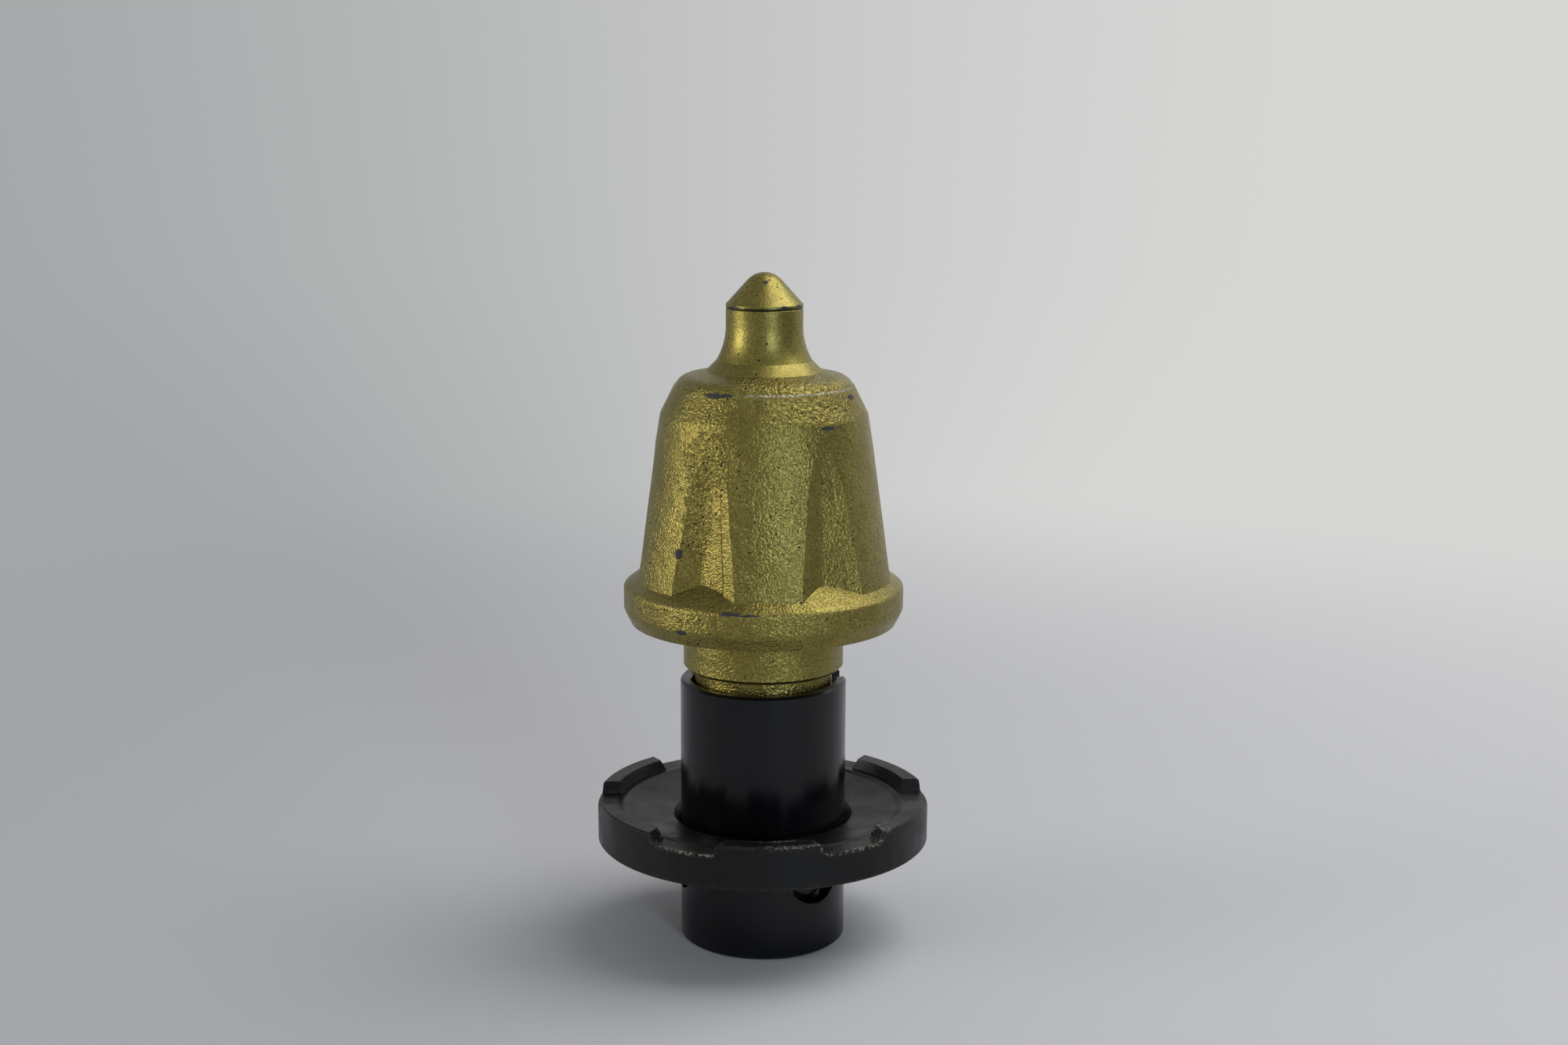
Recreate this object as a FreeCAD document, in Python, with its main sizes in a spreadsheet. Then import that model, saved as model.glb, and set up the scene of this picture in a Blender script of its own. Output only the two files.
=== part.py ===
import FreeCAD, Part
import math
import os
import Sketcher

# Road milling pick: a forged steel body with a carbide tip brazed into its nose, a split
# clamping sleeve round the shank, and a dished wear washer pushed on the sleeve, which holds
# the sleeve closed until the pick is driven into its holder.
#
# Millimetres and degrees. +Z is the pick's axis, from the shank end at z = 0 to the point.
# Angles about the axis are counter-clockwise from +X.

SIZES = {
    # shank, neck and flange of the forged body
    "shank_gap": 0.35,              # between the shank and the closed sleeve's inside
    "sleeve_play": 1.4,             # between the sleeve's top and the underside of the neck
    "shank_chamfer": 0.7,
    "collar_height": 4.6,           # end collar that the sleeve's tabs hook over
    "groove_depth": 1.3,
    "groove_length": 9.2,
    "neck_inset": 0.38,             # how far the neck is inside the sleeve's outside
    "neck_length": 5.75,            # neck underside to the rim of the flange seat
    "neck_chamfer": 0.42,
    "seat_radius": 15.88,
    "seat_angle": 11.0,             # the flange's seat and the washer's dish
    "flange_radius": 16.74,
    "flange_height": 4.4,
    "flange_bevel_height": 1.7,
    "flange_top_angle": 37.0,
    "flange_top_reach": 4.6,        # how far the flange's top cone runs in under the flutes
    "flange_round": 0.6,
    "bevel_round": 1.2,
    # bell
    "bell_base_radius": 15.6,
    "bell_height": 20.65,
    "bell_top_radius": 12.3,
    "bell_top_round": 1.0,
    "shoulder_radius": 10.5,
    "shoulder_height": 3.35,
    "shoulder_step": 0.12,          # flash line left by the forging dies
    "crown_radius": 9.2,
    "crown_height": 1.15,
    "crown_arc_radius": 2.1,
    "crown_rise": 0.5,
    # flutes forged into the bell: a steep wall, a valley, a ramp and a step up to a ledge
    "flute_count": 6,
    "flute_turn": 2.4,
    "flute_depth": 1.75,
    "flute_valley_side": 0.8,
    "flute_ramp_depth": 1.2,
    "flute_ramp_side": 2.2,
    "flute_ledge_depth": 0.96,
    "flute_ledge_side": 2.5,
    "flute_mouth_left": 7.9,
    "flute_mouth_right": 5.6,
    "flute_mouth_depth": 0.2,
    "flute_mouth_over": 1.0,
    "flute_valley_round": 2.0,
    "flute_lower": 6.4,             # heights above the flange, and shares of the sizes there
    "flute_lower_width": 0.86,
    "flute_lower_depth": 0.7,
    "flute_middle": 12.2,
    "flute_middle_width": 0.64,
    "flute_middle_depth": 0.42,
    "flute_upper": 15.3,
    "flute_upper_width": 0.43,
    "flute_upper_depth": 0.25,
    "flute_end": 17.2,
    "flute_end_width": 0.1,
    "flute_end_depth": 0.05,
    # carbide tip
    "tip_radius": 4.55,
    "tip_nose_radius": 2.7,
    "tip_cone_angle": 42.3,
    "tip_land": 0.32,
    "tip_mark_width": 0.24,         # fine line under the cone
    "tip_mark_depth": 0.12,
    "tip_neck_length": 2.0,
    "tip_flare_radius": 7.95,
    "tip_skirt_radius": 5.65,
    "tip_skirt_height": 1.95,
    "tip_base_radius": 3.8,
    "tip_base_height": 1.6,
    # braze between the tip and its seat
    "braze_gap": 0.15,
    "braze_fillet_width": 1.25,
    "braze_fillet_height": 1.25,
    # clamping sleeve, closed to the washer's bore
    "sleeve_radius": 10.0,
    "sleeve_wall": 1.35,
    "sleeve_length": 32.4,
    "sleeve_edge": 0.3,
    "sleeve_slit": 3.6,
    "sleeve_turn": 191.0,
    "tab_count": 3,
    "tab_window_width": 6.5,
    "tab_window_bottom": 6.3,
    "tab_window_height": 8.2,
    "tab_window_round": 3.9,
    "tab_width": 5.1,
    "tab_end_gap": 0.9,
    "tab_round": 3.1,
    "tab_push": 1.1,                # how far the free end is pressed in
    # wear washer
    "washer_radius": 20.1,
    "washer_clearance": 0.06,
    "washer_level": 12.5,           # underside of the washer above the shank end
    "washer_turn": 2.5,
    "washer_ring_height": 4.0,
    "washer_lug_height": 1.3,
    "washer_lug_width": 1.95,
    "washer_lug_draft": 15.0,
    "washer_dish_radius": 17.0,
    "washer_throat": 0.9,           # width of the rounded-off ring where the dish meets the bore
    "washer_bore_chamfer": 0.7,
    "washer_edge": 0.15,
    "notch_count": 6,
    "notch_width": 7.5,
    "notch_draft": 30.0,
}

doc = FreeCAD.newDocument("road_milling_pick")
sheet = doc.addObject("Spreadsheet::Sheet", "sizes")
for row, (name, value) in enumerate(SIZES.items(), start=1):
    sheet.set(f"A{row}", name)
    sheet.set(f"B{row}", str(value))
    sheet.setAlias(f"B{row}", name)
doc.recompute()


class Dim:
    """A length in mm with the sheet expression that gives it, so that what is drawn with it
    stays bound to the sheet."""

    def __init__(self, value, text):
        self.value, self.text = float(value), text

    def _join(self, sign, other, value):
        return Dim(value, f"({self.text} {sign} {as_dim(other).text})")

    def __add__(self, other):
        return self._join("+", other, self.value + as_dim(other).value)

    def __sub__(self, other):
        return self._join("-", other, self.value - as_dim(other).value)

    def __mul__(self, other):
        return self._join("*", other, self.value * as_dim(other).value)

    def __truediv__(self, other):
        return self._join("/", other, self.value / as_dim(other).value)

    def __neg__(self):
        return Dim(-self.value, f"(-1 * {self.text})")


def as_dim(number):
    return number if isinstance(number, Dim) else Dim(number, repr(float(number)))


def size(name):
    return Dim(sheet.get(name), f"sizes.{name}")


def sin(angle):
    return Dim(math.sin(math.radians(angle.value)), f"sin({angle.text} * 1 deg)")


def tan(angle):
    return Dim(math.tan(math.radians(angle.value)), f"tan({angle.text} * 1 deg)")


def cos(angle):
    return Dim(math.cos(math.radians(angle.value)), f"cos({angle.text} * 1 deg)")


def root(number):
    return Dim(math.sqrt(number.value), f"sqrt({number.text})")


ZERO = as_dim(0)


# Helpers for bodies, sketches and features


def new_body(name):
    body = doc.addObject("PartDesign::Body", name)
    body.Label = name
    return body


def new_sketch(body, name, plane, level=None, turn=None):
    """A sketch on one of the body's own origin planes, or level with it at a height and turned
    about the axis."""
    sketch = body.newObject("Sketcher::SketchObject", name)
    support = [f for f in body.Origin.OriginFeatures if f.Role == plane][0]
    sketch.AttachmentSupport = [(support, "")]
    sketch.MapMode = "FlatFace"
    if level is not None:
        sketch.setExpression("AttachmentOffset.Base.z", level.text)
    if turn is not None:
        sketch.setExpression("AttachmentOffset.Rotation.Angle", f"{turn.text} * 1 deg")
    return sketch


def pin_point(sketch, index, end, point):
    """Binds one point of a sketch edge to the sheet."""
    for kind, coordinate, axis in (("DistanceX", point[0], -2), ("DistanceY", point[1], -1)):
        if coordinate is ZERO:
            sketch.addConstraint(Sketcher.Constraint("PointOnObject", index, end, axis))
            continue
        row = sketch.addConstraint(
            Sketcher.Constraint(kind, -1, 1, index, end, coordinate.value))
        sketch.setExpression(f"Constraints[{row}]", coordinate.text)


def set_radius(sketch, index, radius):
    row = sketch.addConstraint(Sketcher.Constraint("Radius", index, abs(radius.value)))
    sketch.setExpression(f"Constraints[{row}]", f"abs({radius.text})")


def arc_between(a, b, radius):
    """The shorter arc from a to b, which turns left for a positive radius."""
    chord = b - a
    left = FreeCAD.Vector(-chord.y, chord.x, 0).normalize() * math.copysign(1, radius)
    rise = math.sqrt(radius ** 2 - (chord.Length / 2) ** 2)
    middle = (a + b) / 2 + left * (rise - abs(radius))
    return Part.Arc(a, middle, b)


def draw(sketch, points, rounds=None):
    """A closed outline. Each point is (x, y) for a straight run to the next point, or
    (x, y, radius) for an arc to it, which turns left for a positive radius and right for a
    negative one. rounds gives the corners between straight runs that are rounded, as
    {corner: radius}. An arc that turns right is stored from its far end."""
    rounds = rounds or {}
    count = len(points)
    corners = [FreeCAD.Vector(p[0].value, p[1].value, 0) for p in points]
    starts, ends = list(corners), corners[1:] + corners[:1]
    turns = {}
    for index, radius in rounds.items():
        back = (corners[index - 1] - corners[index]).normalize()
        ahead = (corners[(index + 1) % count] - corners[index]).normalize()
        setback = radius.value / math.tan(back.getAngle(ahead) / 2)
        ends[index - 1] = corners[index] + back * setback
        starts[index] = corners[index] + ahead * setback
        turns[index] = math.copysign(1, ahead.cross(back).z)
    for index, point in enumerate(points):
        a, b = starts[index], ends[index]
        edge = Part.LineSegment(a, b) if len(point) == 2 else arc_between(a, b, point[2].value)
        sketch.addGeometry(edge, False)

    def end_of(index, far):
        right = len(points[index]) == 3 and points[index][2].value < 0
        return 2 if far != right else 1

    for index, point in enumerate(points):
        before = (index - 1) % count
        if len(point) == 3:
            set_radius(sketch, index, point[2])
        if index not in rounds:
            sketch.addConstraint(Sketcher.Constraint(
                "Coincident", before, end_of(before, True), index, end_of(index, False)))
            pin_point(sketch, index, end_of(index, False), point)
            continue
        arc = sketch.addGeometry(arc_between(
            ends[before], starts[index], turns[index] * rounds[index].value), False)
        first, second = (1, 2) if turns[index] > 0 else (2, 1)
        sketch.addConstraint(Sketcher.Constraint("Tangent", before, 2, arc, first))
        sketch.addConstraint(Sketcher.Constraint("Tangent", arc, second, index, 1))
        set_radius(sketch, arc, rounds[index])
        corner = sketch.addGeometry(Part.Point(corners[index]), True)
        pin_point(sketch, corner, 1, point)
        sketch.addConstraint(Sketcher.Constraint("PointOnObject", corner, 1, before))
        sketch.addConstraint(Sketcher.Constraint("PointOnObject", corner, 1, index))
    return sketch


def revolve(body, name, points, kind="PartDesign::Revolution", angle=360):
    sketch = draw(new_sketch(body, name + "_profile", "XZ_Plane"), points)
    feature = body.newObject(kind, name)
    feature.Profile = (sketch, [""])
    feature.ReferenceAxis = (sketch, ["V_Axis"])
    feature.Angle = angle
    body.Tip = feature
    doc.recompute()
    return feature


def pocket(body, name, sketch, towards_x=True):
    """Cuts a sketch on the YZ plane through everything on one side of the axis."""
    feature = body.newObject("PartDesign::Pocket", name)
    feature.Profile = (sketch, [""])
    feature.Type = "ThroughAll"
    feature.Reversed = towards_x
    body.Tip = feature
    doc.recompute()
    return feature


def around(body, name, features, count):
    """Repeats features evenly about the axis."""
    feature = body.newObject("PartDesign::PolarPattern", name)
    feature.Originals = features
    axis = [f for f in body.Origin.OriginFeatures if f.Role == "Z_Axis"][0]
    feature.Axis = (axis, [""])
    feature.Angle = 360
    feature.Occurrences = int(count.value)
    feature.setExpression("Occurrences", count.text)
    body.Tip = feature
    doc.recompute()
    return feature


def rings(feature, places):
    """The names of the circular edges of a feature that lie at the given (radius, level)."""
    names = []
    for number, edge in enumerate(feature.Shape.Edges, start=1):
        if not isinstance(edge.Curve, Part.Circle):
            continue
        for radius, level in places:
            off = abs(edge.Curve.Radius - radius.value) + abs(edge.Curve.Center.z - level.value)
            if off < 1e-4:
                names.append(f"Edge{number}")
    return names


def ring_fillet(body, name, places, radius):
    base = body.Tip
    feature = body.newObject("PartDesign::Fillet", name)
    feature.Base = (base, rings(base, places))
    feature.Radius = radius.value
    feature.setExpression("Radius", radius.text)
    body.Tip = feature
    doc.recompute()
    return feature


# Levels along the axis, from the shank end up

neck_level = size("sleeve_length") + size("sleeve_play")
seat_level = neck_level + size("neck_length")
flange_level = seat_level + size("flange_height")
bell_level = flange_level + size("bell_height")
shoulder_level = bell_level + size("shoulder_height")
crown_level = shoulder_level + size("crown_height")
nose_level = crown_level + size("crown_rise")
skirt_level = nose_level + size("braze_fillet_height")
base_corner_level = skirt_level - size("tip_skirt_height")
base_level = base_corner_level - size("tip_base_height")
seat_slope = tan(size("seat_angle"))

# Radii that follow the closed sleeve: the shank turns inside it, the washer passes round it

sleeve_inside = size("sleeve_radius") - size("sleeve_wall")
shank_radius = sleeve_inside - size("shank_gap")
neck_radius = size("sleeve_radius") - size("neck_inset")
throat_radius = size("sleeve_radius") + size("washer_throat")

# The seat for the tip, shared by the body and the braze

socket_radius = size("tip_skirt_radius") + size("braze_gap")
nose_rim_radius = size("tip_skirt_radius") + size("braze_fillet_width")
socket = [
    (ZERO, base_level - size("braze_gap")),
    (size("tip_base_radius") + size("braze_gap") / 2, base_level - size("braze_gap")),
    (socket_radius, base_corner_level - size("braze_gap") / 2),
    (socket_radius, nose_level),
]

# Forged body

pick_body = new_body("pick_body")
revolve(pick_body, "bell", [
    (ZERO, flange_level),
    (size("bell_base_radius"), flange_level),
    (size("bell_top_radius"), bell_level),
    (size("shoulder_radius") + size("shoulder_step"), shoulder_level),
    (size("shoulder_radius"), shoulder_level, size("crown_arc_radius")),
    (size("crown_radius"), crown_level),
    (nose_rim_radius, nose_level),
    *reversed(socket),
])


ring_fillet(pick_body, "bell_top_edge", [(size("bell_top_radius"), bell_level)],
            size("bell_top_round"))
bell_slope = (size("bell_base_radius") - size("bell_top_radius")) / size("bell_height")


def flute_section(height, width, depth):
    """The flute's cross-section on the +X side at a height above the flange, with a mouth that
    opens outside the bell."""
    sketch = new_sketch(pick_body, "flute_section", "XY_Plane", flange_level + height,
                        size("flute_turn"))
    wall = size("bell_base_radius") - bell_slope * height
    mouth = wall + size("flute_mouth_over") * depth
    return draw(sketch, [
        (mouth, -(size("flute_mouth_left") * width)),
        (mouth, size("flute_mouth_right") * width),
        (wall - size("flute_mouth_depth") * depth, size("flute_mouth_right") * width),
        (wall - size("flute_ledge_depth") * depth, size("flute_ledge_side") * width),
        (wall - size("flute_ramp_depth") * depth, size("flute_ramp_side") * width),
        (wall - size("flute_depth") * depth, -(size("flute_valley_side") * width)),
    ], rounds={5: size("flute_valley_round") * width})


flute = pick_body.newObject("PartDesign::SubtractiveLoft", "flute")
flute.Profile = (flute_section(ZERO, as_dim(1), as_dim(1)), [""])
flute.Sections = [
    (flute_section(size(f"flute_{at}"), size(f"flute_{at}_width"), size(f"flute_{at}_depth")), [""])
    for at in ("lower", "middle", "upper", "end")
]
flute.Ruled = False
pick_body.Tip = flute
doc.recompute()
around(pick_body, "flutes", [flute], size("flute_count"))

collar_level = size("collar_height")
groove_radius = shank_radius - size("groove_depth")
groove_level = collar_level + size("groove_length")
flange_reach_radius = size("flange_radius") - size("flange_top_reach")
flange_reach_level = flange_level + size("flange_top_reach") * tan(size("flange_top_angle"))
revolve(pick_body, "shank_and_flange", [
    (ZERO, ZERO),
    (shank_radius - size("shank_chamfer"), ZERO),
    (shank_radius, size("shank_chamfer")),
    (shank_radius, collar_level),
    (groove_radius, collar_level),
    (groove_radius, groove_level - size("groove_depth")),
    (shank_radius, groove_level),
    (shank_radius, neck_level),
    (neck_radius - size("neck_chamfer"), neck_level),
    (neck_radius, neck_level + size("neck_chamfer")),
    (neck_radius, seat_level - (size("seat_radius") - neck_radius) * seat_slope),
    (size("seat_radius"), seat_level),
    (size("flange_radius"), seat_level + size("flange_bevel_height")),
    (size("flange_radius"), flange_level),
    (flange_reach_radius, flange_reach_level),
    (ZERO, flange_reach_level),
])
ring_fillet(pick_body, "flange_top_edge", [(size("flange_radius"), flange_level)],
            size("flange_round"))
ring_fillet(pick_body, "flange_bevel_edge",
            [(size("flange_radius"), seat_level + size("flange_bevel_height"))],
            size("bevel_round"))

# Carbide tip: rounded cone, fine line, short neck, flare and seat

tip_flare_x = size("tip_skirt_radius") - size("tip_radius")
tip_flare_height = root(
    size("tip_flare_radius") * size("tip_flare_radius")
    - (size("tip_flare_radius") - tip_flare_x) * (size("tip_flare_radius") - tip_flare_x))
tip_neck_level = skirt_level + tip_flare_height
tip_mark_level = tip_neck_level + size("tip_neck_length")
tip_land_level = tip_mark_level + size("tip_mark_width")
tip_cone_level = tip_land_level + size("tip_land")
cone_angle = size("tip_cone_angle")
nose_centre = (tip_cone_level + size("tip_radius") / tan(cone_angle)
               - size("tip_nose_radius") / sin(cone_angle))
nose_touch_radius = size("tip_nose_radius") * cos(cone_angle)
nose_touch_level = nose_centre + size("tip_nose_radius") * sin(cone_angle)

carbide_tip = new_body("carbide_tip")
revolve(carbide_tip, "tip", [
    (ZERO, base_level),
    (size("tip_base_radius"), base_level),
    (size("tip_skirt_radius"), base_corner_level),
    (size("tip_skirt_radius"), skirt_level, -size("tip_flare_radius")),
    (size("tip_radius"), tip_neck_level),
    (size("tip_radius"), tip_mark_level),
    (size("tip_radius") - size("tip_mark_depth"), tip_mark_level + size("tip_mark_width") / 2),
    (size("tip_radius"), tip_land_level),
    (size("tip_radius"), tip_cone_level),
    (nose_touch_radius, nose_touch_level, size("tip_nose_radius")),
    (ZERO, nose_centre + size("tip_nose_radius")),
])

# Braze: a thin layer in the seat that swells to a fillet round the tip's skirt

braze_joint = new_body("braze_joint")
revolve(braze_joint, "braze", [
    *socket,
    (nose_rim_radius, nose_level),
    (size("tip_skirt_radius"), skirt_level),
    (size("tip_skirt_radius"), base_corner_level),
    (size("tip_base_radius"), base_level),
    (ZERO, base_level),
])

# Clamping sleeve: a split spring-steel tube with tabs pressed into the shank's groove. The
# first tab is on +X of the sleeve's own frame, the slit opposite it.

clamping_sleeve = new_body("clamping_sleeve")
revolve(clamping_sleeve, "tube", [
    (sleeve_inside + size("sleeve_edge"), ZERO),
    (size("sleeve_radius") - size("sleeve_edge"), ZERO),
    (size("sleeve_radius"), size("sleeve_edge")),
    (size("sleeve_radius"), size("sleeve_length") - size("sleeve_edge")),
    (size("sleeve_radius") - size("sleeve_edge"), size("sleeve_length")),
    (sleeve_inside + size("sleeve_edge"), size("sleeve_length")),
    (sleeve_inside, size("sleeve_length") - size("sleeve_edge")),
    (sleeve_inside, size("sleeve_edge")),
])


def round_rise(radius, half_width):
    """How high an arc of this radius rises over half its width."""
    return radius - root(radius * radius - half_width * half_width)


window_top = size("tab_window_bottom") + size("tab_window_height")
window_half = size("tab_window_width") / 2
window_side_level = size("tab_window_bottom") + round_rise(size("tab_window_round"), window_half)
window = pocket(clamping_sleeve, "tab_window", draw(
    new_sketch(clamping_sleeve, "tab_window_outline", "YZ_Plane"), [
        (-window_half, window_side_level, size("tab_window_round")),
        (window_half, window_side_level),
        (window_half, window_top),
        (-window_half, window_top),
    ]))

tab_end = size("tab_window_bottom") + size("tab_end_gap")
tab_sketch = draw(new_sketch(clamping_sleeve, "tab_section", "XZ_Plane"), [
    (sleeve_inside - size("tab_push"), tab_end),
    (size("sleeve_radius") - size("tab_push"), tab_end),
    (size("sleeve_radius"), window_top),
    (sleeve_inside, window_top),
])
tab_half = size("tab_width") / 2
tab = clamping_sleeve.newObject("PartDesign::Revolution", "tab")
tab.Profile = (tab_sketch, [""])
tab.ReferenceAxis = (tab_sketch, ["V_Axis"])
tab.Midplane = True
tab.setExpression("Angle", f"2 * asin({tab_half.text} / sizes.sleeve_radius)")
clamping_sleeve.Tip = tab
doc.recompute()

# The tab's end is rounded by the gap between it and its window
tab_side_level = tab_end + round_rise(size("tab_round"), tab_half)
trim = pocket(clamping_sleeve, "tab_trim", draw(
    new_sketch(clamping_sleeve, "tab_trim_outline", "YZ_Plane"), [
        (-window_half, window_side_level, size("tab_window_round")),
        (window_half, window_side_level),
        (tab_half, tab_side_level, -size("tab_round")),
        (-tab_half, tab_side_level),
    ]))
around(clamping_sleeve, "tabs", [window, tab, trim], size("tab_count"))

slit_sketch = draw(new_sketch(clamping_sleeve, "slit_outline", "YZ_Plane"), [
    (-(size("sleeve_slit") / 2), -size("sleeve_edge")),
    (size("sleeve_slit") / 2, -size("sleeve_edge")),
    (size("sleeve_slit") / 2, size("sleeve_length") + size("sleeve_edge")),
    (-(size("sleeve_slit") / 2), size("sleeve_length") + size("sleeve_edge")),
])
pocket(clamping_sleeve, "slit", slit_sketch, towards_x=False)
clamping_sleeve.setExpression("Placement.Rotation.Angle", "sizes.sleeve_turn * 1 deg")
doc.recompute()

# Wear washer: dished to take the flange's seat, with a ring of lugs round the dish

wear_washer = new_body("wear_washer")
bore = size("sleeve_radius") + size("washer_clearance")
lug_inside = size("washer_radius") - size("washer_lug_width")
lug_top = size("washer_ring_height") + size("washer_lug_height")
lug_lean = size("washer_lug_height") * tan(size("washer_lug_draft"))
throat_level = (size("washer_ring_height")
                - (size("washer_dish_radius") - throat_radius) * seat_slope)
revolve(wear_washer, "plate", [
    (bore + size("washer_bore_chamfer"), ZERO),
    (size("washer_radius") - size("washer_edge"), ZERO),
    (size("washer_radius"), size("washer_edge")),
    (size("washer_radius"), lug_top - size("washer_edge")),
    (size("washer_radius") - size("washer_edge"), lug_top),
    (lug_inside, lug_top),
    (lug_inside - lug_lean, size("washer_ring_height")),
    (size("washer_dish_radius"), size("washer_ring_height")),
    (throat_radius, throat_level),
    (bore, throat_level - (throat_radius - bore)),
    (bore, size("washer_bore_chamfer")),
])
notch_half = size("notch_width") / 2
notch_lean = size("washer_lug_height") * 2 * tan(size("notch_draft"))
notch = pocket(wear_washer, "notch", draw(
    new_sketch(wear_washer, "notch_outline", "YZ_Plane"), [
        (-notch_half, size("washer_ring_height")),
        (notch_half, size("washer_ring_height")),
        (notch_half + notch_lean, lug_top + size("washer_lug_height")),
        (-(notch_half + notch_lean), lug_top + size("washer_lug_height")),
    ]))
around(wear_washer, "notches", [notch], size("notch_count"))
wear_washer.setExpression("Placement.Base.z", "sizes.washer_level")
wear_washer.setExpression("Placement.Rotation.Angle", "sizes.washer_turn * 1 deg")
doc.recompute()

# Checks, then one STEP file for each piece

pieces = [pick_body, carbide_tip, braze_joint, clamping_sleeve, wear_washer]
for item in doc.Objects:
    if "Invalid" in item.State or "Error" in item.State:
        raise RuntimeError(f"{item.Label} failed: {item.State}")
for piece in pieces:
    if piece.Shape.isNull() or not piece.Shape.isValid() or len(piece.Shape.Solids) != 1:
        raise RuntimeError(f"{piece.Label} is not one valid solid")

os.makedirs("parts", exist_ok=True)
for piece in pieces:
    piece.Shape.exportStep(f"parts/{piece.Label}.step")
    print(f"{piece.Label}: {piece.Shape.Volume:.1f} mm3")
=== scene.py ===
import bpy
import math
from mathutils import Matrix
from mathutils import Vector


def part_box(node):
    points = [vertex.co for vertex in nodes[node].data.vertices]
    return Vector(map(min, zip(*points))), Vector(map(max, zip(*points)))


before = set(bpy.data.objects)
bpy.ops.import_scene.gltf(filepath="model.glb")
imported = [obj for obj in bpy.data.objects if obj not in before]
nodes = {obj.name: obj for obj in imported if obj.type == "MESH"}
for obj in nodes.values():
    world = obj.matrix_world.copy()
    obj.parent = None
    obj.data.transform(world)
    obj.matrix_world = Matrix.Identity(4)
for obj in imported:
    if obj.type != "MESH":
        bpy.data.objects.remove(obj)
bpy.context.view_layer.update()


# ---------------------------------------------------------------- node helpers

def new_group(name, inputs, outputs):
    """A shader node group with named inputs (name, default) and float outputs."""
    tree = bpy.data.node_groups.new(name, "ShaderNodeTree")
    for label, default in inputs:
        kind = "NodeSocketFloat"
        if isinstance(default, tuple):
            kind = "NodeSocketColor" if len(default) == 4 else "NodeSocketVector"
        socket = tree.interface.new_socket(label, in_out="INPUT", socket_type=kind)
        socket.default_value = default
    for label, kind in outputs:
        tree.interface.new_socket(label, in_out="OUTPUT", socket_type=kind)
    source = tree.nodes.new("NodeGroupInput")
    sink = tree.nodes.new("NodeGroupOutput")
    return tree, source, sink


def plug(tree, value, socket):
    """Links a socket or writes a plain value."""
    if isinstance(value, bpy.types.NodeSocket):
        tree.links.new(value, socket)
    elif value is not None:
        socket.default_value = value


def math_node(tree, operation, a, b=None, clamp=False):
    node = tree.nodes.new("ShaderNodeMath")
    node.operation = operation
    node.use_clamp = clamp
    plug(tree, a, node.inputs[0])
    plug(tree, b, node.inputs[1])
    return node.outputs[0]


def vector_node(tree, operation, a, b=None):
    node = tree.nodes.new("ShaderNodeVectorMath")
    node.operation = operation
    plug(tree, a, node.inputs[0])
    plug(tree, b, node.inputs[1])
    if operation in ("LENGTH", "DISTANCE", "DOT_PRODUCT"):
        return node.outputs["Value"]
    return node.outputs["Vector"]


def axes_of(tree, where):
    """The three coordinates of a place, and its distance from the upright axis."""
    axes = tree.nodes.new("ShaderNodeSeparateXYZ")
    plug(tree, where, axes.inputs[0])
    flat = tree.nodes.new("ShaderNodeCombineXYZ")
    plug(tree, axes.outputs[0], flat.inputs[0])
    plug(tree, axes.outputs[1], flat.inputs[1])
    return axes.outputs[0], axes.outputs[1], axes.outputs[2], vector_node(tree, "LENGTH", flat.outputs[0])


def noise(tree, where, scale, detail=3.0, rough=0.55):
    node = tree.nodes.new("ShaderNodeTexNoise")
    plug(tree, where, node.inputs["Vector"])
    plug(tree, scale, node.inputs["Scale"])
    node.inputs["Detail"].default_value = detail
    node.inputs["Roughness"].default_value = rough
    return node


def cells(tree, where, scale, feature="F1"):
    node = tree.nodes.new("ShaderNodeTexVoronoi")
    node.feature = feature
    plug(tree, where, node.inputs["Vector"])
    plug(tree, scale, node.inputs["Scale"])
    return node


def ramp(tree, value, low, high, to_low=0.0, to_high=1.0):
    node = tree.nodes.new("ShaderNodeMapRange")
    node.clamp = True
    node.interpolation_type = "SMOOTHSTEP"
    plug(tree, value, node.inputs["Value"])
    plug(tree, low, node.inputs["From Min"])
    plug(tree, high, node.inputs["From Max"])
    plug(tree, to_low, node.inputs["To Min"])
    plug(tree, to_high, node.inputs["To Max"])
    return node.outputs["Result"]


def mix_colour(tree, factor, a, b, blend="MIX"):
    node = tree.nodes.new("ShaderNodeMix")
    node.data_type = "RGBA"
    node.blend_type = blend
    node.clamp_factor = True
    plug(tree, factor, node.inputs[0])
    plug(tree, a, node.inputs[6])
    plug(tree, b, node.inputs[7])
    return node.outputs[2]


def place_group(tree, group, **values):
    node = tree.nodes.new("ShaderNodeGroup")
    node.node_tree = group
    for label, value in values.items():
        plug(tree, value, node.inputs[label.replace("_", " ")])
    return node


def bump(tree, height, distance, strength=1.0, under=None):
    node = tree.nodes.new("ShaderNodeBump")
    node.inputs["Strength"].default_value = strength
    node.inputs["Distance"].default_value = distance
    plug(tree, height, node.inputs["Height"])
    if under is not None:
        tree.links.new(under, node.inputs["Normal"])
    return node.outputs["Normal"]


# ---------------------------------------------------------------- shared effects

def forged_grain_group():
    """Hammer dents, scale and grit of a painted forging, as a height and a tone near 0 to 1."""
    tree, source, sink = new_group(
        "forged_grain",
        [("Place", (0.0, 0.0, 0.0)), ("Dents", 260.0), ("Scale", 2300.0), ("Grit", 4000.0)],
        [("Dents", "NodeSocketFloat"), ("Scale", "NodeSocketFloat"), ("Grit", "NodeSocketFloat")],
    )
    where = source.outputs["Place"]
    for label, detail in (("Dents", 1.5), ("Scale", 1.6), ("Grit", 1.0)):
        pattern = noise(tree, where, source.outputs[label], detail, 0.55)
        plug(tree, pattern.outputs["Fac"], sink.inputs[label])
    return tree


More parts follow.
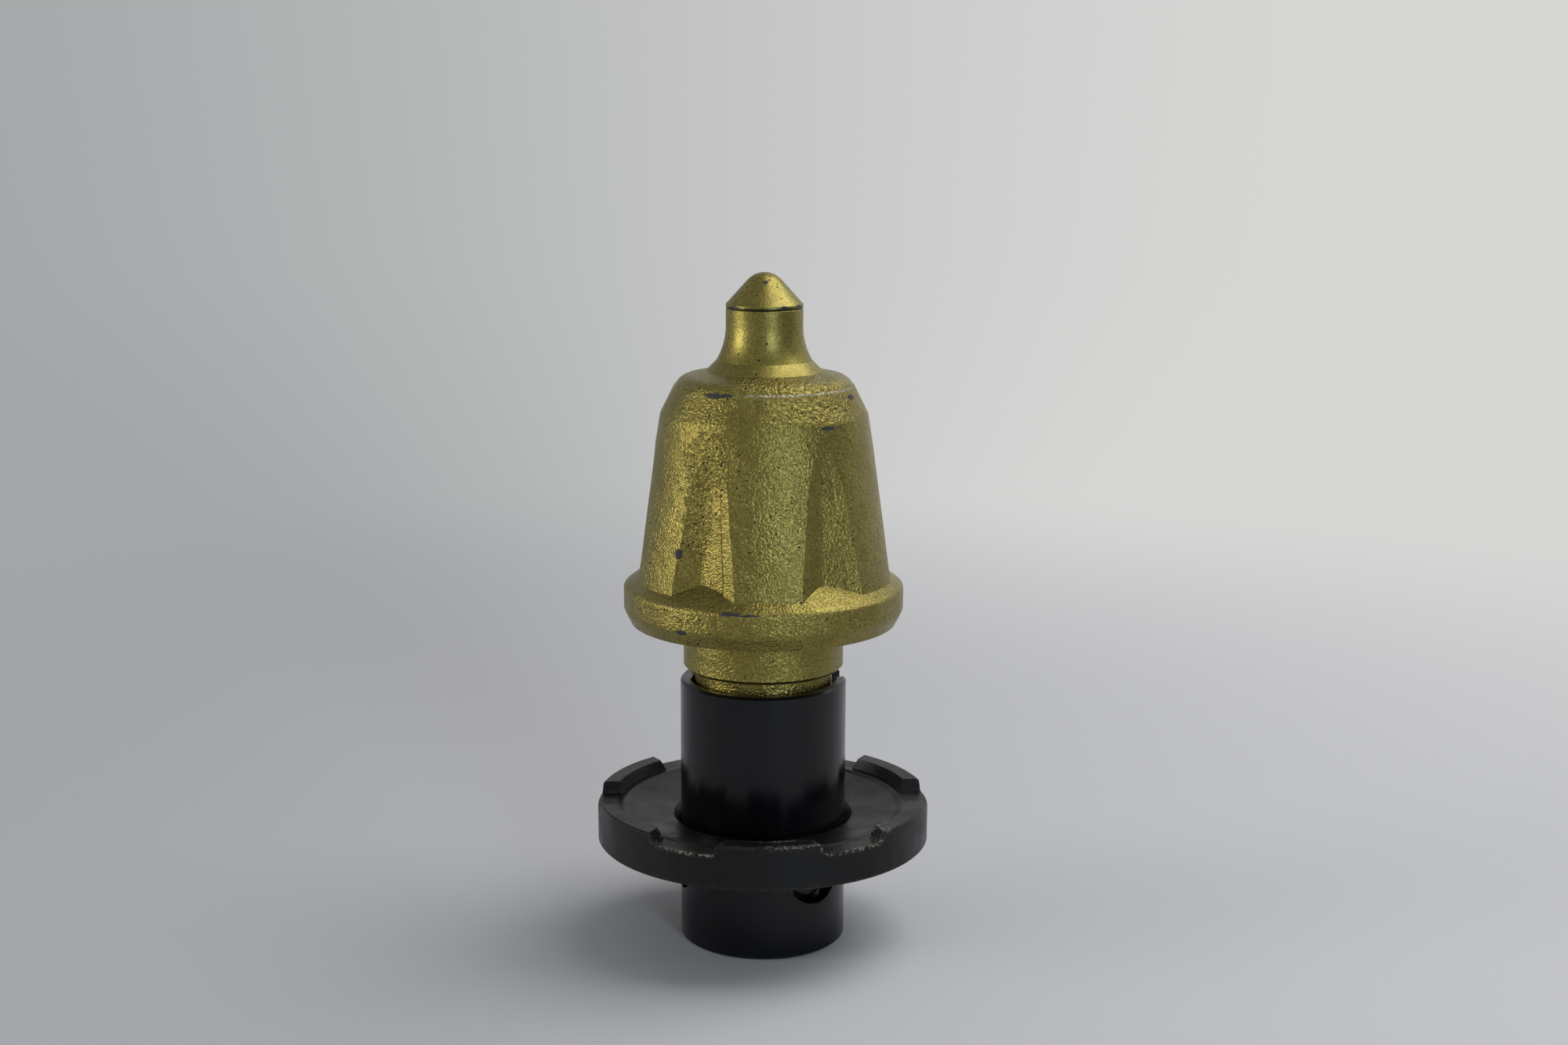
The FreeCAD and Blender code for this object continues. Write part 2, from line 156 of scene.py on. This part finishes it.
def flakes_group():
    """Flakes of metallic paint: each cell has its own shade and height."""
    tree, source, sink = new_group(
        "paint_flakes",
        [("Place", (0.0, 0.0, 0.0)), ("Size", 5200.0)],
        [("Shade", "NodeSocketFloat"), ("Height", "NodeSocketFloat")],
    )
    flakes = cells(tree, source.outputs["Place"], source.outputs["Size"])
    split = tree.nodes.new("ShaderNodeSeparateColor")
    plug(tree, flakes.outputs["Color"], split.inputs[0])
    plug(tree, split.outputs[0], sink.inputs["Shade"])
    plug(tree, split.outputs[1], sink.inputs["Height"])
    return tree


def pits_group():
    """Small dark pits, more in some patches than in others."""
    tree, source, sink = new_group(
        "paint_pits",
        [("Place", (0.0, 0.0, 0.0)), ("Size", 2400.0), ("Share", 0.1), ("Patch Size", 260.0),
         ("Extra", 0.0)],
        [("Mask", "NodeSocketFloat")],
    )
    where = source.outputs["Place"]
    spots = cells(tree, where, source.outputs["Size"])
    split = tree.nodes.new("ShaderNodeSeparateColor")
    plug(tree, spots.outputs["Color"], split.inputs[0])
    patch = noise(tree, where, source.outputs["Patch Size"], 3.0, 0.6).outputs["Fac"]
    crowd = ramp(tree, patch, 0.42, 0.68, 0.1, 2.2)
    share = math_node(tree, "MULTIPLY", source.outputs["Share"], crowd)
    share = math_node(tree, "ADD", share, source.outputs["Extra"])
    chosen = math_node(tree, "LESS_THAN", split.outputs[0], share)
    spot_radius = ramp(tree, split.outputs[1], 0.0, 1.0, 0.2, 0.5)
    inside = math_node(tree, "LESS_THAN", spots.outputs["Distance"], spot_radius)
    plug(tree, math_node(tree, "MULTIPLY", chosen, inside), sink.inputs["Mask"])
    return tree


def chip_group():
    """One ragged chip, centred at a turn in radians from the front and at a height."""
    tree, source, sink = new_group(
        "paint_chip",
        [("Place", (0.0, 0.0, 0.0)), ("Turn", 0.0), ("Height", 0.0), ("Wide", 0.001), ("Tall", 0.001),
         ("Ragged", 0.7)],
        [("Mask", "NodeSocketFloat")],
    )
    where = source.outputs["Place"]
    x, y, z, radius = axes_of(tree, where)
    turn = math_node(tree, "ARCTAN2", x, math_node(tree, "MULTIPLY", y, -1.0))
    along = math_node(tree, "MULTIPLY", math_node(tree, "SUBTRACT", turn, source.outputs["Turn"]), radius)
    across = math_node(tree, "SUBTRACT", z, source.outputs["Height"])
    along = math_node(tree, "DIVIDE", along, source.outputs["Wide"])
    across = math_node(tree, "DIVIDE", across, source.outputs["Tall"])
    reach = math_node(tree, "ADD", math_node(tree, "POWER", math_node(tree, "ABSOLUTE", along), 2.0),
                      math_node(tree, "POWER", math_node(tree, "ABSOLUTE", across), 2.0))
    tear = noise(tree, where, 1700.0, 4.0, 0.65).outputs["Fac"]
    tear = math_node(tree, "MULTIPLY", math_node(tree, "SUBTRACT", tear, 0.5), source.outputs["Ragged"])
    reach = math_node(tree, "ADD", reach, math_node(tree, "MULTIPLY", tear, 6.0))
    plug(tree, ramp(tree, reach, 1.05, 0.85), sink.inputs["Mask"])
    return tree


def worn_edge_group():
    """A mask along sharp edges, broken up by noise, and the same edges unbroken."""
    tree, source, sink = new_group(
        "worn_edge",
        [("Place", (0.0, 0.0, 0.0)), ("Width", 0.0004), ("Patch Size", 500.0), ("Cover", 0.5)],
        [("Mask", "NodeSocketFloat"), ("Edge", "NodeSocketFloat")],
    )
    rounded = tree.nodes.new("ShaderNodeBevel")
    rounded.samples = 6
    plug(tree, source.outputs["Width"], rounded.inputs["Radius"])
    shape = tree.nodes.new("ShaderNodeNewGeometry")
    turn = vector_node(tree, "DOT_PRODUCT", rounded.outputs["Normal"], shape.outputs["Normal"])
    edge = ramp(tree, turn, 0.985, 0.9)
    patch = noise(tree, source.outputs["Place"], source.outputs["Patch Size"], 4.0, 0.65).outputs["Fac"]
    limit = math_node(tree, "SUBTRACT", 1.0, source.outputs["Cover"])
    upper = math_node(tree, "ADD", limit, 0.12)
    broken = ramp(tree, patch, limit, upper)
    plug(tree, math_node(tree, "MULTIPLY", edge, broken), sink.inputs["Mask"])
    plug(tree, edge, sink.inputs["Edge"])
    return tree


FORGED_GRAIN = forged_grain_group()
FLAKES = flakes_group()
PITS = pits_group()
CHIP = chip_group()
WORN_EDGE = worn_edge_group()


# ---------------------------------------------------------------- materials

# Heights along the axis, in metres
SLEEVE_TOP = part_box("clamping_sleeve")[1][2]
SHOULDER_LINE = 0.06795
GLOSS_START = 0.0715
GLOSS_END = 0.074
SMOOTH_START = 0.0722
SMOOTH_END = 0.0745
TIP_MARK = 0.0771

# Colours
GOLD_DARK = (0.232, 0.19, 0.049, 1.0)
GOLD_LIGHT = (0.27, 0.226, 0.06, 1.0)
TIP_GOLD_DARK = (0.235, 0.195, 0.05, 1.0)
TIP_GOLD_LIGHT = (0.275, 0.232, 0.062, 1.0)
PIT_COLOUR = (0.035, 0.032, 0.02, 1.0)
CHIP_COLOUR = (0.03, 0.029, 0.033, 1.0)
# Colour of the dark line painted along the fine seam under the tip's cone
CONE_LINE_DARK_COLOUR = (0.045, 0.052, 0.035, 1.0)
# Pale colour of the worn flash line, which is partly wear and partly a painted highlight on the lit side
WORN_LINE_AND_HIGHLIGHT_COLOUR = (0.5, 0.46, 0.36, 1.0)
BARE_SHANK_COLOUR = (0.03, 0.03, 0.03, 1.0)
WORN_STEEL_COLOUR = (0.26, 0.235, 0.18, 1.0)
SLEEVE_BLACK = (0.0015, 0.0017, 0.0022, 1.0)
SLEEVE_MARK_BLACK = (0.0035, 0.004, 0.005, 1.0)
WASHER_BLACK = (0.002, 0.002, 0.0022, 1.0)
WASHER_WORN_BLACK = (0.005, 0.005, 0.005, 1.0)

# Chips on the forging: degrees round from the front, height, half width, half height
FORGING_CHIPS = (
    (-31.0, 0.06778, 0.0017, 0.00028),
    (-24.0, 0.06788, 0.0009, 0.00022),
    (37.0, 0.0642, 0.0009, 0.00022),
    (-12.5, 0.04395, 0.0013, 0.00022),
    (-5.0, 0.04385, 0.0012, 0.00016),
    (-41.0, 0.0498, 0.0005, 0.0006),
    (-33.5, 0.0412, 0.0008, 0.0003),
    (66.0, 0.0671, 0.0008, 0.0003),
    (118.0, 0.0440, 0.0014, 0.0003),
    (171.0, 0.0678, 0.0016, 0.0003),
    (-140.0, 0.0437, 0.0010, 0.0004),
    (-97.0, 0.0638, 0.0009, 0.0003),
    (143.0, 0.0520, 0.0006, 0.0008),
)

# Chips on the tip
TIP_CHIPS = (
    (4.0, 0.0801, 0.0004, 0.00022),
    (-52.0, 0.0772, 0.0009, 0.00022),
    (30.0, 0.0773, 0.0005, 0.0002),
    (62.0, 0.0773, 0.0008, 0.00022),
    (150.0, 0.0774, 0.0009, 0.00022),
    (-130.0, 0.0790, 0.0004, 0.0003),
)


# Places where the scale stands proud under the paint
SCALY_PATCHES = (
    (20.0, 0.0696, 0.0062, 0.0020),
    (30.0, 0.0662, 0.0064, 0.0017),
    (-27.0, 0.0605, 0.0040, 0.0030),
    (-33.0, 0.0545, 0.0016, 0.0050),
    (-150.0, 0.0690, 0.0070, 0.0022),
    (100.0, 0.0600, 0.0040, 0.0040),
)

# Rubbed places on the washer's front edge, and the lip round its dish
WASHER_RUBS = (
    (-27.0, 0.0170, 0.0040, 0.0030),
    (14.0, 0.0172, 0.0042, 0.0030),
    (36.0, 0.0170, 0.0050, 0.0030),
)
DISH_LIP = 0.017
WASHER_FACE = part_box("wear_washer")[1][2] - 0.0013


def new_material(name):
    material = bpy.data.materials.new(name)
    material.use_nodes = True
    tree = material.node_tree
    shader = tree.nodes["Principled BSDF"]
    where = tree.nodes.new("ShaderNodeTexCoord").outputs["Object"]
    return material, tree, shader, where


def height_of(tree, where):
    axes = tree.nodes.new("ShaderNodeSeparateXYZ")
    plug(tree, where, axes.inputs[0])
    return axes.outputs[2]


def either(tree, first, second):
    return math_node(tree, "MAXIMUM", first, second)


def all_chips(tree, where, chips):
    """The chips of one list as a single mask."""
    mask = None
    for turn, height, wide, tall in chips:
        chip = place_group(tree, CHIP, Place=where, Turn=math.radians(turn), Height=height,
                           Wide=wide, Tall=tall)
        mask = chip.outputs["Mask"] if mask is None else either(tree, mask, chip.outputs["Mask"])
    return mask


def gold_colour(tree, grain, flakes, dark, light):
    """The paint's own colour: soft patches, with a fine mix of dark and bright flakes."""
    patches = ramp(tree, grain.outputs["Dents"], 0.25, 0.75)
    colour = mix_colour(tree, patches, dark, light)
    shade = ramp(tree, flakes.outputs["Shade"], 0.0, 1.0, 0.84, 1.14)
    grit = ramp(tree, grain.outputs["Grit"], 0.3, 0.7, 0.86, 1.12)
    shade = math_node(tree, "MULTIPLY", shade, grit)
    return scaled_colour(tree, colour, shade)


def scaled_colour(tree, colour, factor):
    node = tree.nodes.new("ShaderNodeVectorMath")
    node.operation = "SCALE"
    plug(tree, colour, node.inputs[0])
    plug(tree, factor, node.inputs["Scale"])
    return node.outputs["Vector"]


def forging_paint():
    """Gold metallic paint over a forging, with pits, chips and a worn flash line that is painted pale as a
    highlight only on its lit right side.
    """
    material, tree, shader, where = new_material("gold_paint_forging")
    height = height_of(tree, where)
    grain = place_group(tree, FORGED_GRAIN, Place=where)
    flakes = place_group(tree, FLAKES, Place=where)
    edge = place_group(tree, WORN_EDGE, Place=where, Width=0.0004, Patch_Size=320.0, Cover=0.5)
    patches = all_chips(tree, where, SCALY_PATCHES)
    crowd = math_node(tree, "ADD", math_node(tree, "MULTIPLY", edge.outputs["Edge"], 0.12),
                      math_node(tree, "MULTIPLY", patches, 0.1))
    pits = place_group(tree, PITS, Place=where, Size=3400.0, Share=0.04, Extra=crowd)
    chips = all_chips(tree, where, FORGING_CHIPS)
    rough_skin = ramp(tree, grain.outputs["Scale"], 0.5, 0.62)
    rubbed = math_node(tree, "MULTIPLY", edge.outputs["Mask"], rough_skin)
    bare = either(tree, chips, rubbed)

    colour = gold_colour(tree, grain, flakes, GOLD_DARK, GOLD_LIGHT)
    # Worn flash line at the shoulder, painted pale only on the lit right side: partly wear, partly a
    # painted highlight of the edge catching the key lamp.
    off_line = math_node(tree, "ABSOLUTE", math_node(tree, "SUBTRACT", height, SHOULDER_LINE))
    line = ramp(tree, off_line, 0.00016, 0.00006)
    lit_side_line_highlight = place_group(tree, CHIP, Place=where, Turn=math.radians(32.0), Height=SHOULDER_LINE,
                             Wide=0.0078, Tall=0.0012, Ragged=0.45)
    line = math_node(tree, "MULTIPLY", line, lit_side_line_highlight.outputs["Mask"])
    colour = mix_colour(tree, math_node(tree, "MULTIPLY", line, 0.6), colour, WORN_LINE_AND_HIGHLIGHT_COLOUR)
    colour = mix_colour(tree, pits.outputs["Mask"], colour, PIT_COLOUR)
    colour = mix_colour(tree, bare, colour, CHIP_COLOUR)
    unpainted = ramp(tree, height, SLEEVE_TOP - 0.0008, SLEEVE_TOP - 0.0012)
    colour = mix_colour(tree, unpainted, colour, BARE_SHANK_COLOUR)
    plug(tree, colour, shader.inputs["Base Color"])

    plug(tree, ramp(tree, bare, 0.0, 1.0, 0.95, 0.2), shader.inputs["Metallic"])
    dull = either(tree, bare, pits.outputs["Mask"])
    rough = ramp(tree, grain.outputs["Dents"], 0.3, 0.7, 0.36, 0.32)
    rough = math_node(tree, "SUBTRACT", rough, ramp(tree, height, GLOSS_START, GLOSS_END, 0.0, 0.02))
    plug(tree, either(tree, rough, math_node(tree, "MULTIPLY", dull, 0.6)), shader.inputs["Roughness"])

    forged = ramp(tree, height, SMOOTH_START, SMOOTH_END, 1.0, 0.25)
    scaly = math_node(tree, "ADD", ramp(tree, grain.outputs["Dents"], 0.42, 0.6, 0.15, 0.45), patches)
    scale = math_node(tree, "MULTIPLY", grain.outputs["Scale"], math_node(tree, "MULTIPLY", scaly, forged))
    grit = math_node(tree, "MULTIPLY", grain.outputs["Grit"], forged)
    normal = bump(tree, grain.outputs["Dents"], 0.00014)
    normal = bump(tree, scale, 0.00024, 1.0, normal)
    normal = bump(tree, grit, 0.00011, 1.0, normal)
    sunk = math_node(tree, "SUBTRACT", flakes.outputs["Height"], math_node(tree, "MULTIPLY", dull, 4.0))
    normal = bump(tree, sunk, 0.000012, 1.0, normal)
    plug(tree, normal, shader.inputs["Normal"])
    return material


def tip_paint():
    """The same paint on smooth carbide, darker in the fine line under the cone."""
    material, tree, shader, where = new_material("gold_paint_tip")
    height = height_of(tree, where)
    grain = place_group(tree, FORGED_GRAIN, Place=where)
    flakes = place_group(tree, FLAKES, Place=where)
    pits = place_group(tree, PITS, Place=where, Size=3400.0, Share=0.02)
    chips = all_chips(tree, where, TIP_CHIPS)
    colour = gold_colour(tree, grain, flakes, TIP_GOLD_DARK, TIP_GOLD_LIGHT)
    # A dark line painted along the fine seam under the cone.
    off_line = math_node(tree, "ABSOLUTE", math_node(tree, "SUBTRACT", height, TIP_MARK))
    line = ramp(tree, off_line, 0.00022, 0.0001)
    colour = mix_colour(tree, math_node(tree, "MULTIPLY", line, 0.8), colour, CONE_LINE_DARK_COLOUR)
    colour = mix_colour(tree, pits.outputs["Mask"], colour, PIT_COLOUR)
    colour = mix_colour(tree, chips, colour, CHIP_COLOUR)
    plug(tree, colour, shader.inputs["Base Color"])
    dull = either(tree, chips, pits.outputs["Mask"])
    plug(tree, ramp(tree, chips, 0.0, 1.0, 0.95, 0.2), shader.inputs["Metallic"])
    plug(tree, ramp(tree, grain.outputs["Dents"], 0.3, 0.7, 0.42, 0.36), shader.inputs["Roughness"])
    normal = bump(tree, grain.outputs["Dents"], 0.00004)
    normal = bump(tree, grain.outputs["Grit"], 0.00002, 1.0, normal)
    sunk = math_node(tree, "SUBTRACT", flakes.outputs["Height"], math_node(tree, "MULTIPLY", dull, 4.0))
    normal = bump(tree, sunk, 0.000008, 1.0, normal)
    plug(tree, normal, shader.inputs["Normal"])
    return material


def black_sleeve():
    """Blackened spring steel with a satin face and faint lengthwise rolling marks."""
    material, tree, shader, where = new_material("black_spring_steel")
    stretch = tree.nodes.new("ShaderNodeMapping")
    plug(tree, where, stretch.inputs["Vector"])
    stretch.inputs["Scale"].default_value = (1.0, 1.0, 0.12)
    marks = noise(tree, stretch.outputs["Vector"], 900.0, 3.0).outputs["Fac"]
    clouds = noise(tree, where, 160.0, 3.0).outputs["Fac"]
    colour = mix_colour(tree, marks, SLEEVE_BLACK, SLEEVE_MARK_BLACK)
    plug(tree, colour, shader.inputs["Base Color"])
    shader.inputs["Metallic"].default_value = 0.0
    shader.inputs["Specular IOR Level"].default_value = 0.3
    fine = ramp(tree, marks, 0.3, 0.7, 0.17, 0.21)
    broad = ramp(tree, clouds, 0.3, 0.7, 0.0, 0.06)
    plug(tree, math_node(tree, "ADD", fine, broad), shader.inputs["Roughness"])
    plug(tree, bump(tree, marks, 0.00001), shader.inputs["Normal"])
    return material


def black_washer():
    """Matt black paint on a stamped steel washer, worn bright in specks along its edges."""
    material, tree, shader, where = new_material("black_washer_steel")
    grain = place_group(tree, FORGED_GRAIN, Place=where, Dents=300.0, Scale=1300.0)
    wear = place_group(tree, WORN_EDGE, Place=where, Width=0.0009, Patch_Size=2600.0, Cover=0.53)
    rubs = all_chips(tree, where, WASHER_RUBS)
    specks = math_node(tree, "MULTIPLY", wear.outputs["Mask"], ramp(tree, rubs, 0.0, 1.0, 0.12, 1.0))
    colour = mix_colour(tree, grain.outputs["Dents"], WASHER_BLACK, WASHER_WORN_BLACK)
    colour = mix_colour(tree, specks, colour, WORN_STEEL_COLOUR)
    plug(tree, colour, shader.inputs["Base Color"])
    shader.inputs["Metallic"].default_value = 0.0
    shader.inputs["Specular IOR Level"].default_value = 0.26
    plug(tree, ramp(tree, grain.outputs["Dents"], 0.3, 0.7, 0.44, 0.34), shader.inputs["Roughness"])

    x, y, z, radius = axes_of(tree, where)
    off_lip = math_node(tree, "ABSOLUTE", math_node(tree, "SUBTRACT", radius, DISH_LIP))
    lip = ramp(tree, off_lip, 0.0009, 0.0)
    top = ramp(tree, z, WASHER_FACE - 0.002, WASHER_FACE - 0.0018)
    lip = math_node(tree, "MULTIPLY", lip, top)
    normal = bump(tree, grain.outputs["Dents"], 0.00005)
    normal = bump(tree, grain.outputs["Scale"], 0.00003, 1.0, normal)
    normal = bump(tree, lip, 0.0002, 1.0, normal)
    plug(tree, normal, shader.inputs["Normal"])
    return material


def dress(node, material):
    mesh = nodes[node].data
    if not mesh.materials:
        mesh.materials.append(material)
    for index in range(len(mesh.materials)):
        mesh.materials[index] = material


TIP_PAINT = tip_paint()
dress("pick_body", forging_paint())
dress("carbide_tip", TIP_PAINT)
dress("braze_joint", TIP_PAINT)
dress("clamping_sleeve", black_sleeve())
dress("wear_washer", black_washer())


# ---------------------------------------------------------------- studio

def studio_grey():
    """Pale grey paper: a lit floor near the part, painted darker to the left and lighter to the right, and
    a glowing backdrop away from it, also painted darker to the left and glowing as a dimmer room in
    reflections from the front.
    """
    material, tree, shader, where = new_material("studio_grey")
    shader.inputs["Roughness"].default_value = 0.85
    shader.inputs["Specular IOR Level"].default_value = 0.15
    axes = tree.nodes.new("ShaderNodeSeparateXYZ")
    plug(tree, where, axes.inputs[0])
    # Painted light: the near floor is darker to the left and lighter to the right, standing in for the
    # right-hand lamp's fall-off.
    near_side = ramp(tree, axes.outputs[0], -0.12, 0.12)
    near_grey = mix_colour(tree, near_side, (0.5, 0.505, 0.53, 1.0), (0.68, 0.68, 0.69, 1.0))
    plug(tree, near_grey, shader.inputs["Base Color"])
    reach = vector_node(tree, "LENGTH", where)
    side = math_node(tree, "DIVIDE", axes.outputs[0], math_node(tree, "MAXIMUM", reach, 0.05))
    # Painted light: the glowing backdrop is darker to the left and lighter to the right. In reflections
    # its front glows as a dimmer room grey, darker to the right.
    far_side = ramp(tree, side, -0.5, 0.35)
    far_grey = mix_colour(tree, far_side, (0.37, 0.38, 0.39, 1.0), (0.68, 0.68, 0.67, 1.0))
    room_grey = mix_colour(tree, far_side, (0.36, 0.36, 0.37, 1.0), (0.2, 0.205, 0.22, 1.0))
    behind = ramp(tree, axes.outputs[1], -0.1, 0.4)
    glow = tree.nodes.new("ShaderNodeEmission")
    seen = tree.nodes.new("ShaderNodeLightPath")
    behind = either(tree, behind, seen.outputs["Is Camera Ray"])
    plug(tree, mix_colour(tree, behind, room_grey, far_grey), glow.inputs["Color"])
    direct = either(tree, seen.outputs["Is Camera Ray"], seen.outputs["Is Glossy Ray"])
    direct = either(tree, direct, seen.outputs["Is Transmission Ray"])
    away = ramp(tree, reach, 0.1, 0.32)
    blend = tree.nodes.new("ShaderNodeMixShader")
    plug(tree, math_node(tree, "MULTIPLY", direct, away), blend.inputs[0])
    tree.links.new(shader.outputs[0], blend.inputs[1])
    tree.links.new(glow.outputs[0], blend.inputs[2])
    tree.links.new(blend.outputs[0], tree.nodes["Material Output"].inputs["Surface"])
    return material


def studio_sweep():
    """A pale round floor that curves up into a wall all round."""
    profile = [(0.0, 0.0)]
    for radius in (0.1, 0.25, 0.45, 0.7, 1.0):
        profile.append((radius, 0.0))
    for step in range(1, 13):
        angle = math.radians(90.0 * step / 12)
        profile.append((1.0 + 0.9 * math.sin(angle), 0.9 * (1.0 - math.cos(angle))))
    profile.append((1.9, 2.2))
    turns = 96
    vertices = [(0.0, 0.0, 0.0)]
    for radius, height in profile[1:]:
        for turn in range(turns):
            angle = 2 * math.pi * turn / turns
            vertices.append((radius * math.cos(angle), radius * math.sin(angle), height))
    faces = []
    for turn in range(turns):
        faces.append((0, 1 + turn, 1 + (turn + 1) % turns))
    for ring in range(len(profile) - 2):
        first = 1 + ring * turns
        for turn in range(turns):
            after = (turn + 1) % turns
            faces.append((first + turn, first + turns + turn, first + turns + after, first + after))
    mesh = bpy.data.meshes.new("studio_sweep")
    mesh.from_pydata(vertices, [], faces)
    for face in mesh.polygons:
        face.use_smooth = True
    sweep = bpy.data.objects.new("studio_sweep", mesh)
    bpy.context.scene.collection.objects.link(sweep)
    mesh.materials.append(studio_grey())


def soft_light(name, place, target, width, height, power, colour):
    light = bpy.data.lights.new(name, "AREA")
    light.shape = "RECTANGLE"
    light.size = width
    light.size_y = height
    light.energy = power
    light.color = colour
    lamp = bpy.data.objects.new(name, light)
    lamp.location = place
    aim = Vector(target) - Vector(place)
    lamp.rotation_euler = aim.to_track_quat("-Z", "Y").to_euler()
    bpy.context.scene.collection.objects.link(lamp)


def studio_lights():
    middle = (0.0, 0.0, 0.05)
    soft_light("high_right", (0.48, 0.12, 0.88), middle, 0.78, 0.82, 6.3, (1.0, 0.99, 0.98))
    soft_light("low_left", (-0.8, -0.18, 0.14), middle, 0.36, 0.45, 2.9, (1.0, 0.97, 0.9))
    soft_light("front_right", (0.36, -0.8, 0.2), middle, 0.2, 0.5, 2.5, (0.7, 0.84, 1.0))
    world = bpy.data.worlds.new("studio_world")
    world.use_nodes = True
    world.node_tree.nodes["Background"].inputs["Color"].default_value = (0.92, 0.95, 1.0, 1.0)
    world.node_tree.nodes["Background"].inputs["Strength"].default_value = 0.3
    bpy.context.scene.world = world


def studio_camera():
    camera = bpy.data.cameras.new("camera")
    camera.lens = 49.5
    camera.sensor_width = 36.0
    camera.clip_start = 0.01
    camera.clip_end = 20.0
    eye = bpy.data.objects.new("camera", camera)
    eye.location = (0.0024068, -0.252447, 0.101145)
    eye.rotation_mode = "XYZ"
    pitch = math.radians(90.0 - 11.158)
    roll = math.radians(0.3005)
    turn = Matrix.Rotation(pitch, 3, "X") @ Matrix.Rotation(roll, 3, "Z")
    eye.rotation_euler = turn.to_euler()
    bpy.context.scene.collection.objects.link(eye)
    bpy.context.scene.camera = eye


studio_sweep()
studio_lights()
studio_camera()
bpy.context.scene.view_settings.view_transform = "Standard"
